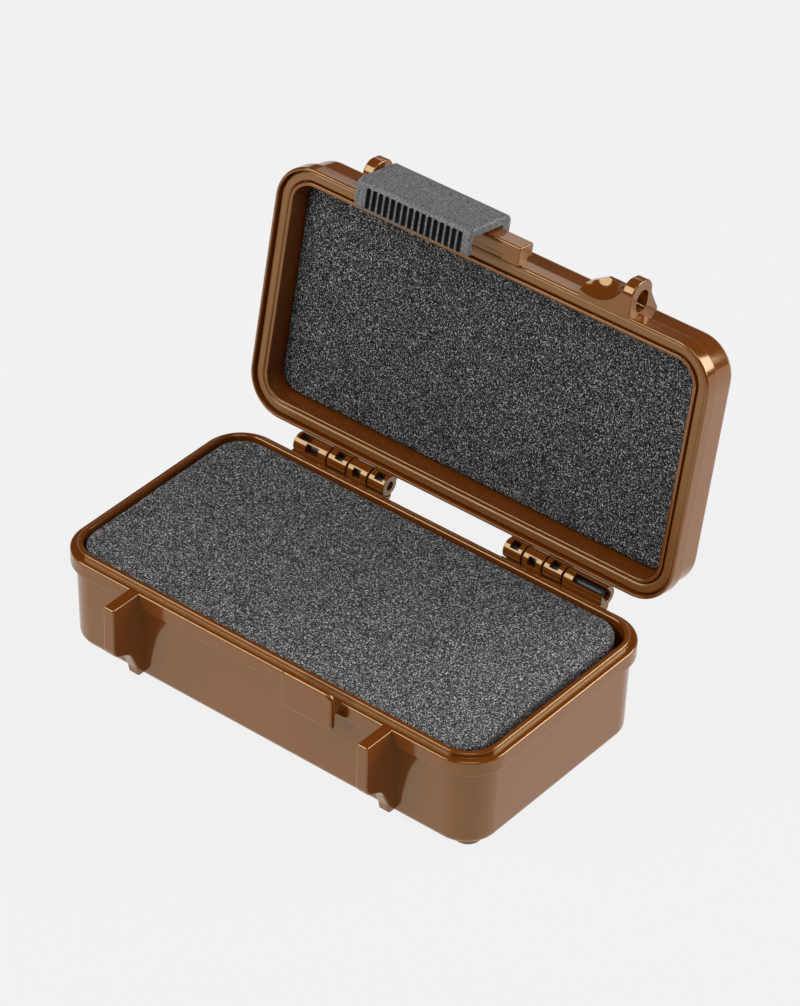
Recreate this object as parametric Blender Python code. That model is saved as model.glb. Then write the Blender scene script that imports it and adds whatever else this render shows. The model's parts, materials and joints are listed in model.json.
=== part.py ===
"""A small watertight carry case with a foam block, standing open.

Two moulded shells meet at a seam plane.  The lid turns on two hinge pins behind the back rim,
and a latch slides along a rail on the lid's free edge.  With the lid closed, the latch runs
over a T-shaped catch on the front of the base and locks the shells together.

X runs along the front, Y to the back and Z up.  The shells are drawn in a seam frame: its
origin is the middle of the base's opening and Z = 0 is the seam.  The lid is drawn closed in
that frame and swung open about the hinge axis.  Lengths are in metres.
"""

import math

import bmesh
import bpy
from mathutils import Matrix, Vector

# The case as a whole.
SEAM_HEIGHT = 0.0365
FRAME_SHIFT_Y = -0.0122
LID_OPEN_ANGLE = math.radians(101.0)
CORNER_STEPS = 7

# The rim flange, which both shells share.  Insets are measured inwards from its outer face.
FLANGE_HALF_X = 0.0833
FLANGE_HALF_Y = 0.0436
FLANGE_CORNER = 0.0136
MIN_CORNER = 0.0020
RIM_BREAK = 0.0004

# The base shell.
BASE_BOTTOM = -0.0355
BASE_EDGE_RADIUS = 0.0025
BASE_WALL_INSET_TOP = 0.0019
BASE_WALL_INSET_LOW = 0.0026
BASE_FLANGE_LOW = -0.0069
BASE_FLANGE_CHAMFER = 0.0011
BASE_LEDGE = -0.0016
BEAD_OUTER_INSET = 0.0023
OPENING_INSET = 0.0041
BASE_FLOOR = -0.0333
BASE_FLOOR_INSET = 0.0060
BASE_FLOOR_CHAMFER = 0.0020
FOOT_HALF = (0.0060, 0.0060)
FOOT_CORNER = 0.0045
FOOT_CENTRE = (0.0718, 0.0320)
FOOT_HEIGHT = 0.0010
FOOT_OVERLAP = 0.0005

# The lid shell, drawn closed.
LID_LIP = -0.0009
LID_FLANGE_TOP = 0.0045
LID_TOP = 0.0153
LID_EDGE_RADIUS = 0.0030
LID_WALL_INSET_LOW = 0.0010
LID_WALL_INSET_TOP = 0.0014
LIP_WIDTH = 0.0009
SEAL_GROOVE_FLOOR = 0.0023
SEAL_GROOVE_INNER = 0.0050
ABOVE_GROOVE = SEAL_GROOVE_FLOOR + 0.0010
LID_OPENING_INSET = 0.0062
LID_CEILING = 0.0129
LID_CEILING_INSET = 0.0070
LID_CEILING_CHAMFER = 0.0015

# The seal in the lid's groove.
SEAL_OUTER_INSET = 0.0016
SEAL_INNER_INSET = 0.0045
SEAL_BACK = 0.0020
SEAL_SHOULDER = 0.0011
SEAL_CROWN = 0.00035
SEAL_STEPS = 6

# The foam.
BASE_FOAM_TOP = -0.0009
BASE_FOAM_GAP = 0.0003
BASE_FOAM_SHORT_X = 0.0026
BASE_FOAM_CORNER = 0.0100
LID_FOAM_FACE = 0.0065
LID_FOAM_GAP = 0.0004
FOAM_EDGE = 0.0008

# The fins on the base and the padlock lugs on the lid, which line up when the lid is closed.
FIN_CENTRE_X = 0.0497
FIN_WIDTH = 0.0040
FIN_FRONT = -0.0551
FIN_ROOT = -0.0415
LIP_ROOT = -0.0430
WALL_ROOT = -0.0408
LUG_TAIL = 0.0138
LUG_HOLE_WIDTH = 0.0058
LUG_HOLE_HEIGHT = 0.0074
LUG_HOLE_Y = -0.0474
LUG_HOLE_Z = 0.0048

# The catch: a T on the front of the base.
CATCH_X = (0.0126, 0.0323)
CATCH_FRONT = -0.0482
CATCH_BACK = -0.0460
CATCH_TOP = 0.0032
CATCH_LOW = -0.0099
CATCH_WEB_LOW = -0.0045

# The rail on the lid's free edge.
RAIL_X = (-0.0460, 0.0113)
RAIL_BLOCK_X = 0.0060
RAIL_HEAD_FRONT = -0.0505
RAIL_HEAD_BACK = -0.0458
RAIL_HEAD_Z = (-0.0030, 0.0039)
RAIL_STEM_Z = (-0.0014, 0.0019)
RAIL_CLEAR_Y = -0.0441

# The scooped gusset beside the right lug, which is the latch's stop.
GUSSET_X = (0.0329, 0.0485)
GUSSET_Z = (-0.0009, 0.0066)
GUSSET_TOP = -0.0497
GUSSET_LEFT_TOP = -0.0466
GUSSET_SLOPE_X = 0.0385
SCOOP_CENTRE = Vector((0.0375, -0.0530, -0.0025))
SCOOP_RADII = Vector((0.0105, 0.0087, 0.0085))
SHACKLE_PATH_START = 0.0447

# The sliding latch, shown at the open end of its travel.
LATCH_X = (-0.0455, -0.0010)
LATCH_FRONT = -0.0540
LATCH_Z = (-0.0121, 0.0084)
LATCH_CHANNEL_FRONT = -0.0508
LATCH_CHANNEL_Z = (-0.0102, 0.0042)
LATCH_LIP_FRONT = -0.0455
LATCH_WALL_LOW = -0.0449
LATCH_BACK_LIP = (-0.0439, 0.0023)
LATCH_EDGE = 0.0016
LATCH_GUIDE_LENGTH = 0.0173
LATCH_GUIDE_Z = -0.0033
LATCH_GUIDE_LIP = (-0.0440, -0.0017)
RIDGE_COUNT = 16
RIDGE_START = 0.0046
RIDGE_PITCH = 0.00236
RIDGE_WIDTH = 0.0012
RIDGE_DEPTH = 0.0011
RIDGE_Y = (-0.0522, -0.0430)

# The hinges.
HINGE_Y = 0.0475
HINGE_Z = -0.00045
PIN_RADIUS = 0.0015
BORE_RADIUS = 0.0016
KNUCKLE_RADIUS = 0.0035
ROUND_SIDES = 24
HINGE_WEB_ROOT = 0.0425
HINGE_WEB_BASE_TOP = -0.0019
HINGE_WEB_BACK = 0.0462
HINGE_WEB_LID_LOW = 0.0002
TROUGH_RADIUS = 0.0039
SHELF_EDGE = ((0.0425, -0.0067), (0.0474, -0.0057), (0.0485, -0.0040))
PIN_X = {-1: (0.0242, 0.0600), 1: (0.0245, 0.0606)}
HINGE_REACH = {-1: (0.0235, 0.0604), 1: (0.0238, 0.0620)}

# The knuckles of each hinge, as distances from the middle: the base's, then the lid's.
KNUCKLES = {
    -1: (((0.0306, 0.0385), (0.0471, 0.0604)), ((0.0235, 0.0301), (0.0390, 0.0466))),
    1: (((0.0313, 0.0387), (0.0469, 0.0620)), ((0.0238, 0.0308), (0.0392, 0.0464))),
}

# Windows onto the pins: distance from the middle, width, and angle up from the front with the
# lid open.
WINDOW_HEIGHT = 0.0030
BASE_WINDOWS = {
    -1: ((0.0347, 0.0030, 22), (0.0529, 0.0050, 22), (0.0567, 0.0048, 80)),
    1: ((0.0350, 0.0030, 22), (0.0562, 0.0116, 55)),
}
LID_WINDOWS = {
    -1: ((0.0264, 0.0032, 68), (0.0425, 0.0032, 68)),
    1: ((0.0275, 0.0032, 68), (0.0428, 0.0032, 68)),
}

TOOL_OVERRUN = 0.0010
FIT_GAP = 0.0004


def clear_scene():
    for obj in list(bpy.data.objects):
        bpy.data.objects.remove(obj, do_unlink=True)


def finish_material(name, colour, roughness):
    material = bpy.data.materials.new(name)
    material.use_nodes = True
    shader = material.node_tree.nodes["Principled BSDF"]
    shader.inputs["Base Color"].default_value = (*colour, 1.0)
    shader.inputs["Roughness"].default_value = roughness
    shader.inputs["Metallic"].default_value = 0.0
    return material


def empty(name, location, parent=None):
    obj = bpy.data.objects.new(name, None)
    obj.location = location
    obj.parent = parent
    bpy.context.scene.collection.objects.link(obj)
    return obj


def object_from(bm, name, parent, material=None):
    """Turn a bmesh into an object whose faces point outwards."""
    bmesh.ops.remove_doubles(bm, verts=bm.verts, dist=1e-7)
    bmesh.ops.recalc_face_normals(bm, faces=bm.faces)
    mesh = bpy.data.meshes.new(name)
    bm.to_mesh(mesh)
    bm.free()
    obj = bpy.data.objects.new(name, mesh)
    obj.parent = parent
    bpy.context.scene.collection.objects.link(obj)
    if material:
        mesh.materials.append(material)
        mesh.shade_smooth()
        mesh.set_sharp_from_angle(angle=math.radians(30))
    return obj


def rounded_outline(half_x, half_y, radius, centre_x=0.0):
    """The points of a rounded rectangle, anticlockwise from its right side."""
    points = []
    for quarter, (side_x, side_y) in enumerate(((1, 1), (-1, 1), (-1, -1), (1, -1))):
        middle = Vector((centre_x + side_x * (half_x - radius), side_y * (half_y - radius)))
        for step in range(CORNER_STEPS + 1):
            angle = math.radians(90) * (quarter + step / CORNER_STEPS)
            points.append(middle + radius * Vector((math.cos(angle), math.sin(angle))))
    return points


def flange_ring(inset, height):
    """A ring of points at an inset from the flange's outer face."""
    radius = max(FLANGE_CORNER - inset, MIN_CORNER)
    outline = rounded_outline(FLANGE_HALF_X - inset, FLANGE_HALF_Y - inset, radius)
    return [Vector((point.x, point.y, height)) for point in outline]


def quarter_round(inset, height, radius, start, end, steps=3):
    """Profile points on an arc round (inset, height), angles in degrees."""
    points = []
    for step in range(steps + 1):
        angle = math.radians(start + (end - start) * step / steps)
        points.append((inset + radius * math.cos(angle), height + radius * math.sin(angle)))
    return points


def loft(rings, closed=False):
    """Bridge rings of equal length; cap the first and last, or join them if closed."""
    bm = bmesh.new()
    loops = [[bm.verts.new(point) for point in ring] for ring in rings]
    pairs = list(zip(loops, loops[1:]))
    if closed:
        pairs.append((loops[-1], loops[0]))
    else:
        bm.faces.new(loops[0])
        bm.faces.new(loops[-1])
    for lower, upper in pairs:
        for index in range(len(lower)):
            after = (index + 1) % len(lower)
            bm.faces.new((lower[index], lower[after], upper[after], upper[index]))
    return bm


def prism(profile, start_x, end_x):
    """A profile of (y, z) points carried along X."""
    rings = [[Vector((x, y, z)) for y, z in profile] for x in (start_x, end_x)]
    return loft(rings)


def block(low, high):
    """A box between two corners."""
    (y0, z0), (y1, z1) = low[1:], high[1:]
    return prism([(y0, z0), (y1, z0), (y1, z1), (y0, z1)], low[0], high[0])


def circle(centre_y, centre_z, radius, sides=ROUND_SIDES):
    angles = [2 * math.pi * step / sides for step in range(sides)]
    return [(centre_y + radius * math.cos(a), centre_z + radius * math.sin(a)) for a in angles]


def combine(target, bm, operation, name):
    """Join or cut a shape with a Boolean modifier; the tool itself isn't part of the case."""
    tool = object_from(bm, name, target.parent)
    tool.hide_render = True
    tool.display_type = "WIRE"
    modifier = target.modifiers.new(name, "BOOLEAN")
    modifier.operation = operation
    modifier.solver = "EXACT"
    modifier.object = tool


def join(target, bm, name):
    combine(target, bm, "UNION", name)


def cut(target, bm, name):
    combine(target, bm, "DIFFERENCE", name)


def mirrored(interval, side):
    """An interval along X on the given side of the middle, in rising order."""
    return tuple(sorted(side * value for value in interval))


def base_profile():
    """(inset, height) points: under the floor, up the outside, over the rim and down inside."""
    low_inset = BASE_WALL_INSET_LOW + BASE_EDGE_RADIUS
    low_height = BASE_BOTTOM + BASE_EDGE_RADIUS
    outside = quarter_round(low_inset, low_height, BASE_EDGE_RADIUS, 270, 180)
    outside += [
        (BASE_WALL_INSET_TOP, BASE_FLANGE_LOW - BASE_FLANGE_CHAMFER),
        (RIM_BREAK, BASE_FLANGE_LOW),
        (0.0, BASE_FLANGE_LOW + RIM_BREAK),
        (0.0, BASE_LEDGE - RIM_BREAK),
        (RIM_BREAK, BASE_LEDGE),
    ]
    rim = [
        (BEAD_OUTER_INSET - 0.0005, BASE_LEDGE),
        (BEAD_OUTER_INSET, -RIM_BREAK),
        (BEAD_OUTER_INSET + RIM_BREAK, 0.0),
        (OPENING_INSET - 0.0005, 0.0),
        (OPENING_INSET, -0.0005),
    ]
    inside = [
        (BASE_FLOOR_INSET, BASE_FLOOR + BASE_FLOOR_CHAMFER),
        (BASE_FLOOR_INSET + BASE_FLOOR_CHAMFER, BASE_FLOOR),
    ]
    return outside + rim + inside


def lid_profile():
    """(inset, height) points: over the top, down the outside, round the rim and up inside."""
    top_inset = LID_WALL_INSET_TOP + LID_EDGE_RADIUS
    outside = quarter_round(top_inset, LID_TOP - LID_EDGE_RADIUS, LID_EDGE_RADIUS, 90, 180)
    outside += [
        (LID_WALL_INSET_LOW, LID_FLANGE_TOP + 0.0006),
        (RIM_BREAK, LID_FLANGE_TOP),
        (0.0, LID_FLANGE_TOP - RIM_BREAK),
        (0.0, LID_LIP + RIM_BREAK),
        (RIM_BREAK, LID_LIP),
        (LIP_WIDTH, LID_LIP),
    ]
    rim = [
        (LIP_WIDTH + 0.0002, SEAL_GROOVE_FLOOR),
        (SEAL_GROOVE_INNER, SEAL_GROOVE_FLOOR),
        (SEAL_GROOVE_INNER, 0.0002),
        (SEAL_GROOVE_INNER + 0.0002, 0.0),
        (LID_OPENING_INSET - 0.0002, 0.0),
        (LID_OPENING_INSET, 0.0002),
    ]
    inside = [
        (LID_CEILING_INSET, LID_CEILING - LID_CEILING_CHAMFER),
        (LID_CEILING_INSET + LID_CEILING_CHAMFER, LID_CEILING),
    ]
    return outside + rim + inside


def fin_profile():
    """A fin's side view: a straight front, a rounded heel and an S back to the wall."""
    heel = [(FIN_FRONT, BASE_LEDGE), (FIN_FRONT, -0.0160)]
    heel += [(-0.0545, -0.0184), (-0.0530, -0.0200), (-0.0505, -0.0214), (-0.0482, -0.0229)]
    sweep = [(-0.0464, -0.0249), (-0.0452, -0.0277), (-0.0447, -0.0305), (-0.0434, -0.0325)]
    return heel + sweep + [(FIN_ROOT, -0.0330), (FIN_ROOT, BASE_LEDGE)]


def catch_profile():
    """A T lying on its side: a plate held off the flange by a web."""
    return [
        (CATCH_FRONT, CATCH_LOW),
        (CATCH_FRONT, CATCH_TOP),
        (CATCH_BACK, CATCH_TOP),
        (CATCH_BACK, BASE_LEDGE),
        (FIN_ROOT, BASE_LEDGE),
        (FIN_ROOT, CATCH_WEB_LOW),
        (CATCH_BACK, CATCH_WEB_LOW),
        (CATCH_BACK, CATCH_LOW),
    ]


def window_mesh(centre_x, width, angle):
    """A radial cutter from the hinge axis outwards, at an angle up from the front."""
    half = WINDOW_HEIGHT / 2
    bm = block((-width / 2, 0.0, -half), (width / 2, 2 * KNUCKLE_RADIUS, half))
    place = Matrix.Translation((centre_x, HINGE_Y, HINGE_Z))
    bm.transform(place @ Matrix.Rotation(math.pi - angle, 4, "X"))
    return bm


def add_hinge(shell, side, knuckles, windows, web, turn):
    """One hinge's knuckles on a shell: barrels with webs, then the pin's bore and windows."""
    tag = "left" if side < 0 else "right"
    web_low, web_top = web
    section = [
        (HINGE_WEB_ROOT, web_low),
        (HINGE_WEB_BACK, web_low),
        (HINGE_WEB_BACK, web_top),
        (HINGE_WEB_ROOT, web_top),
    ]
    for number, interval in enumerate(knuckles):
        start, end = mirrored(interval, side)
        barrel = circle(HINGE_Y, HINGE_Z, KNUCKLE_RADIUS)
        join(shell, prism(section, start, end), f"tool_web_{shell.name}_{tag}_{number}")
        join(shell, prism(barrel, start, end), f"tool_barrel_{shell.name}_{tag}_{number}")
    start, end = mirrored(HINGE_REACH[side], side)
    bore = prism(circle(HINGE_Y, HINGE_Z, BORE_RADIUS), start - TOOL_OVERRUN, end + TOOL_OVERRUN)
    cut(shell, bore, f"tool_bore_{shell.name}_{tag}")
    for number, (centre, width, degrees) in enumerate(windows):
        window = window_mesh(side * centre, width, math.radians(degrees) - turn)
        cut(shell, window, f"tool_window_{shell.name}_{tag}_{number}")


def add_trough(shell, side, knuckles):
    """A shelf under the whole hinge, hollowed where the lid's knuckles turn."""
    tag = "left" if side < 0 else "right"
    section = [(HINGE_WEB_ROOT, HINGE_WEB_BASE_TOP), *SHELF_EDGE, (SHELF_EDGE[-1][0], HINGE_WEB_BASE_TOP)]
    join(shell, prism(section, *mirrored(HINGE_REACH[side], side)), f"tool_shelf_{tag}")
    for number, (inner, outer) in enumerate(knuckles):
        start, end = mirrored((inner - FIT_GAP, outer + FIT_GAP), side)
        trough = prism(circle(HINGE_Y, HINGE_Z, TROUGH_RADIUS), start, end)
        cut(shell, trough, f"tool_trough_{tag}_{number}")


def foot_mesh(side_x, side_y):
    """A low round-cornered pad under a corner of the base."""
    outline = rounded_outline(*FOOT_HALF, FOOT_CORNER)
    middle = Vector((side_x * FOOT_CENTRE[0], side_y * FOOT_CENTRE[1]))
    heights = (BASE_BOTTOM - FOOT_HEIGHT, BASE_BOTTOM + FOOT_OVERLAP)
    return loft([[Vector((*(middle + point), z)) for point in outline] for z in heights])


def build_base(case, material):
    rings = [flange_ring(inset, height) for inset, height in base_profile()]
    shell = object_from(loft(rings), "base_shell", case, material)
    for side in (-1, 1):
        tag = "left" if side < 0 else "right"
        centre = side * FIN_CENTRE_X
        fin = prism(fin_profile(), centre - FIN_WIDTH / 2, centre + FIN_WIDTH / 2)
        join(shell, fin, f"tool_fin_{tag}")
        for depth, row in ((-1, "front"), (1, "back")):
            join(shell, foot_mesh(side, depth), f"tool_foot_{tag}_{row}")
    join(shell, prism(catch_profile(), *CATCH_X), "tool_catch")
    for side, (base_knuckles, lid_knuckles) in KNUCKLES.items():
        add_trough(shell, side, lid_knuckles)
        web = (-KNUCKLE_RADIUS, HINGE_WEB_BASE_TOP)
        add_hinge(shell, side, base_knuckles, BASE_WINDOWS[side], web, 0.0)
    return shell


def rail_profile(front_undercut):
    """The rail's section: undercut behind, and in front where the latch's guide runs."""
    low, high = RAIL_HEAD_Z
    stem_low, stem_high = RAIL_STEM_Z
    outline = [
        (RAIL_HEAD_FRONT, low),
        (RAIL_HEAD_FRONT, high),
        (RAIL_HEAD_BACK, high),
        (RAIL_HEAD_BACK, stem_high),
        (LIP_ROOT, stem_high),
        (LIP_ROOT, LID_LIP),
    ]
    outline.append((RAIL_CLEAR_Y, stem_low))
    if front_undercut:
        return outline + [(RAIL_HEAD_BACK, stem_low), (RAIL_HEAD_BACK, low)]
    return outline + [(RAIL_CLEAR_Y, low)]


def lug_profile():
    """A lug's side view: an arch that sweeps back to the lid's top edge."""
    foot = [(LIP_ROOT, LID_LIP), (-0.0501, LID_LIP)]
    arch = [(-0.0516, -0.0003), (-0.0530, 0.0010), (-0.0539, 0.0029), (-0.0542, 0.0047)]
    arch += [(-0.0538, 0.0064), (-0.0525, 0.0081), (-0.0507, 0.0091)]
    sweep = [(-0.0490, 0.0097), (-0.0472, 0.0106), (-0.0450, 0.0121), (-0.0427, LUG_TAIL)]
    return foot + arch + sweep + [
        (WALL_ROOT, LUG_TAIL),
        (WALL_ROOT, ABOVE_GROOVE),
        (LIP_ROOT, ABOVE_GROOVE - FIT_GAP),
    ]


def slot_outline(centre_y, centre_z, length_y, width_z):
    """A slot with round ends, long in Y."""
    radius = width_z / 2
    reach = length_y / 2 - radius
    points = []
    for end, start_angle in ((1, -90), (-1, 90)):
        for step in range(ROUND_SIDES // 2 + 1):
            angle = math.radians(start_angle + 180 * step / (ROUND_SIDES // 2))
            y = centre_y + end * reach + radius * math.cos(angle)
            points.append((y, centre_z + radius * math.sin(angle)))
    return points


def gusset_mesh():
    """A block with a sloping left top, drawn as a (x, y) outline carried along Z."""
    start, end = GUSSET_X
    low, high = GUSSET_Z
    roots = (
        (low, LIP_ROOT),
        (ABOVE_GROOVE - FIT_GAP, LIP_ROOT),
        (ABOVE_GROOVE, WALL_ROOT),
        (high, WALL_ROOT),
    )
    rings = []
    for z, root in roots:
        outline = [
            (start, root),
            (start, GUSSET_LEFT_TOP),
            (GUSSET_SLOPE_X, GUSSET_TOP),
            (end, GUSSET_TOP),
            (end, root),
        ]
        rings.append([Vector((x, y, z)) for x, y in outline])
    return loft(rings)


def scoop_mesh():
    """The egg-shaped hollow in the gusset's front."""
    bm = bmesh.new()
    placed = Matrix.Translation(SCOOP_CENTRE) @ Matrix.Diagonal((*SCOOP_RADII, 1.0))
    bmesh.ops.create_uvsphere(bm, u_segments=24, v_segments=12, radius=1.0, matrix=placed)
    return bm


def build_lid(hinge, material):
    rings = [flange_ring(inset, height) for inset, height in lid_profile()]
    shell = object_from(loft(rings), "lid_shell", hinge, material)
    join(shell, gusset_mesh(), "tool_gusset")
    cut(shell, scoop_mesh(), "tool_scoop")
    hole = slot_outline(LUG_HOLE_Y, LUG_HOLE_Z, LUG_HOLE_HEIGHT, LUG_HOLE_WIDTH)
    cut(shell, prism(hole, SHACKLE_PATH_START, FIN_CENTRE_X), "tool_shackle_path")
    join(shell, prism(rail_profile(True), RAIL_X[0], RAIL_BLOCK_X), "tool_rail")
    join(shell, prism(rail_profile(False), RAIL_BLOCK_X, RAIL_X[1]), "tool_rail_block")
    for side in (-1, 1):
        tag = "left" if side < 0 else "right"
        centre = side * FIN_CENTRE_X
        start, end = centre - FIN_WIDTH / 2, centre + FIN_WIDTH / 2
        join(shell, prism(lug_profile(), start, end), f"tool_lug_{tag}")
        cut(shell, prism(hole, start - TOOL_OVERRUN, end + TOOL_OVERRUN), f"tool_lug_hole_{tag}")
    for side, (_, lid_knuckles) in KNUCKLES.items():
        web = (HINGE_WEB_LID_LOW, HINGE_Z + KNUCKLE_RADIUS)
        add_hinge(shell, side, lid_knuckles, LID_WINDOWS[side], web, LID_OPEN_ANGLE)
    return shell


def build_seal(hinge, material):
    middle = (SEAL_OUTER_INSET + SEAL_INNER_INSET) / 2
    half_width = (SEAL_INNER_INSET - SEAL_OUTER_INSET) / 2
    profile = [(SEAL_INNER_INSET, SEAL_BACK), (SEAL_OUTER_INSET, SEAL_BACK)]
    for step in range(SEAL_STEPS + 1):
        angle = math.pi * (1 - step / SEAL_STEPS)
        crown = (SEAL_SHOULDER - SEAL_CROWN) * math.sin(angle)
        profile.append((middle + half_width * math.cos(angle), SEAL_SHOULDER - crown))
    rings = [flange_ring(inset, height) for inset, height in profile]
    return object_from(loft(rings, closed=True), "lid_seal", hinge, material)


def foam_ring(half_x, half_y, radius, height, short_x=0.0):
    outline = rounded_outline(half_x - short_x / 2, half_y, radius, -short_x / 2)
    return [Vector((point.x, point.y, height)) for point in outline]


def build_base_foam(case, material):
    """A block that fills the base; it stops a little short of the right end."""
    top_x = FLANGE_HALF_X - OPENING_INSET - BASE_FOAM_GAP
    top_y = FLANGE_HALF_Y - OPENING_INSET - BASE_FOAM_GAP
    taper = BASE_FLOOR_INSET + BASE_FLOOR_CHAMFER - OPENING_INSET
    shrink_and_height = (
        (taper, BASE_FLOOR + BASE_FOAM_GAP),
        (FOAM_EDGE / 2, BASE_FOAM_TOP - FOAM_EDGE),
        (FOAM_EDGE, BASE_FOAM_TOP),
    )
    rings = []
    for shrink, height in shrink_and_height:
        corner = BASE_FOAM_CORNER - shrink
        rings.append(foam_ring(top_x - shrink, top_y - shrink, corner, height, BASE_FOAM_SHORT_X))
    return object_from(loft(rings), "base_foam", case, material)


def build_lid_foam(hinge, material):
    inset = LID_CEILING_INSET + LID_CEILING_CHAMFER + LID_FOAM_GAP / 2
    half_x = FLANGE_HALF_X - LID_OPENING_INSET - 2 * LID_FOAM_GAP
    half_y = FLANGE_HALF_Y - LID_OPENING_INSET - 2 * LID_FOAM_GAP
    back_x, back_y = FLANGE_HALF_X - inset, FLANGE_HALF_Y - inset
    corner = FLANGE_CORNER - LID_OPENING_INSET
    rings = [
        foam_ring(back_x, back_y, corner, LID_CEILING - LID_FOAM_GAP),
        foam_ring(half_x, half_y, corner, LID_CEILING - 0.0025),
        foam_ring(half_x, half_y, corner, LID_FOAM_FACE + FOAM_EDGE / 2),
        foam_ring(half_x - FOAM_EDGE / 2, half_y - FOAM_EDGE / 2, corner, LID_FOAM_FACE),
    ]
    return object_from(loft(rings), "lid_foam", hinge, material)


def latch_profile():
    """A channel over the rail and the catch: a front wall, a top and a lip behind the rail."""
    low, high = LATCH_Z
    channel_low, channel_high = LATCH_CHANNEL_Z
    back_lip_y, back_lip_z = LATCH_BACK_LIP
    edge = LATCH_EDGE
    middle = edge * (1 - math.sqrt(0.5))
    return [
        (LATCH_WALL_LOW, low),
        (LATCH_FRONT + edge, low),
        (LATCH_FRONT + middle, low + middle),
        (LATCH_FRONT, low + edge),
        (LATCH_FRONT, high - edge),
        (LATCH_FRONT + middle, high - middle),
        (LATCH_FRONT + edge, high),
        (back_lip_y, high),
        (back_lip_y, back_lip_z),
        (LATCH_LIP_FRONT, back_lip_z),
        (LATCH_LIP_FRONT, channel_high),
        (LATCH_CHANNEL_FRONT, channel_high),
        (LATCH_CHANNEL_FRONT, channel_low),
        (LATCH_WALL_LOW, channel_low),
    ]


def latch_guide_profile():
    """The guide inside the latch's left end, with a lip under the rail's head."""
    lip_y, lip_z = LATCH_GUIDE_LIP
    inner_low = LATCH_Z[0] + RIDGE_DEPTH + FIT_GAP
    inner_front = LATCH_CHANNEL_FRONT - FIT_GAP
    return [
        (lip_y, inner_low),
        (inner_front, inner_low),
        (inner_front, LATCH_GUIDE_Z),
        (LATCH_LIP_FRONT, LATCH_GUIDE_Z),
        (LATCH_LIP_FRONT, lip_z),
        (lip_y, lip_z),
    ]


def build_latch(hinge, material):
    latch = object_from(prism(latch_profile(), *LATCH_X), "sliding_latch", hinge, material)
    guide = prism(latch_guide_profile(), LATCH_X[0] + FIT_GAP, LATCH_X[0] + LATCH_GUIDE_LENGTH)
    join(latch, guide, "tool_guide")
    for number in range(RIDGE_COUNT):
        start = LATCH_X[0] + RIDGE_START + number * RIDGE_PITCH
        low = (start, RIDGE_Y[0], LATCH_Z[0] - TOOL_OVERRUN)
        high = (start + RIDGE_WIDTH, RIDGE_Y[1], LATCH_Z[0] + RIDGE_DEPTH)
        cut(latch, block(low, high), f"tool_groove_{number}")
    return latch


def build_pin(case, side, material):
    tag = "left" if side < 0 else "right"
    start, end = mirrored(PIN_X[side], side)
    pin = prism(circle(HINGE_Y, HINGE_Z, PIN_RADIUS), start, end)
    return object_from(pin, f"hinge_pin_{tag}", case, material)


def main():
    clear_scene()
    brown = finish_material("shell_plastic", (0.18, 0.075, 0.022), 0.3)
    rubber = finish_material("seal_rubber", (0.17, 0.075, 0.025), 0.5)
    grey = finish_material("latch_plastic", (0.09, 0.09, 0.093), 0.55)
    black = finish_material("pin_plastic", (0.03, 0.03, 0.032), 0.45)
    foam = finish_material("base_foam_grey", (0.08, 0.08, 0.08), 0.95)
    dark_foam = finish_material("lid_foam_grey", (0.045, 0.045, 0.045), 0.95)
    case = empty("case", (0.0, FRAME_SHIFT_Y, SEAM_HEIGHT))
    hinge = empty("lid_hinge", (0.0, HINGE_Y, HINGE_Z), case)
    hinge.rotation_euler.x = -LID_OPEN_ANGLE
    lid = empty("lid_seam", (0.0, -HINGE_Y, -HINGE_Z), hinge)
    build_base(case, brown)
    build_base_foam(case, foam)
    for side in (-1, 1):
        build_pin(case, side, black)
    build_lid(lid, brown)
    build_seal(lid, rubber)
    build_lid_foam(lid, dark_foam)
    build_latch(lid, grey)


main()
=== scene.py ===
"""A small watertight carry case, open on a pale floor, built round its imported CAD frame."""

import json
import math

import bmesh
import bpy
from mathutils import Matrix, Vector, noise


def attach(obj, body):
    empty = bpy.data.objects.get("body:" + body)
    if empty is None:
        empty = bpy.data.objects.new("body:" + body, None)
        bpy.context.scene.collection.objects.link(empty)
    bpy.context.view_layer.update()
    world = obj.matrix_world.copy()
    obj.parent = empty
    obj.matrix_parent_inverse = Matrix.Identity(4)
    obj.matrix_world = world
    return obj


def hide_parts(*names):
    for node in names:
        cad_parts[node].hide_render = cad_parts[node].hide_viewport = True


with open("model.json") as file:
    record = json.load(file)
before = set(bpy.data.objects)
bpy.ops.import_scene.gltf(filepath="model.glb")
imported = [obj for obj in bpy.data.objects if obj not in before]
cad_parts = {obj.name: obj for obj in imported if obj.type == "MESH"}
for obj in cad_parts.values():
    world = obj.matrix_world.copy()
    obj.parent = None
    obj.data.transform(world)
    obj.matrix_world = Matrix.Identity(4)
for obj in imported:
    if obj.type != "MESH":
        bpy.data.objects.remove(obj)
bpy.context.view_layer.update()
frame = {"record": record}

# The seam frame: its origin is the middle of the base's opening and z = 0 is the seam.  The lid
# is drawn closed in it, and swung open about the hinge.  Lengths are in metres.
HINGE_Y = 0.0475
HINGE_Z = -0.00045
JOINTS = {joint["name"]: joint for joint in frame["record"]["behaviour"]["joints"]}
HINGE_POINT = Vector(JOINTS["lid_hinge"]["pos_m"])
OPEN_ANGLE = math.radians(JOINTS["lid_hinge"]["range_deg"][1])
TO_CASE = Matrix.Translation(HINGE_POINT - Vector((0.0, HINGE_Y, HINGE_Z)))
TO_HINGE = Matrix.Translation((0.0, -HINGE_Y, -HINGE_Z))
TO_LID = Matrix.Translation(HINGE_POINT) @ Matrix.Rotation(-OPEN_ANGLE, 4, "X") @ TO_HINGE

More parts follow.
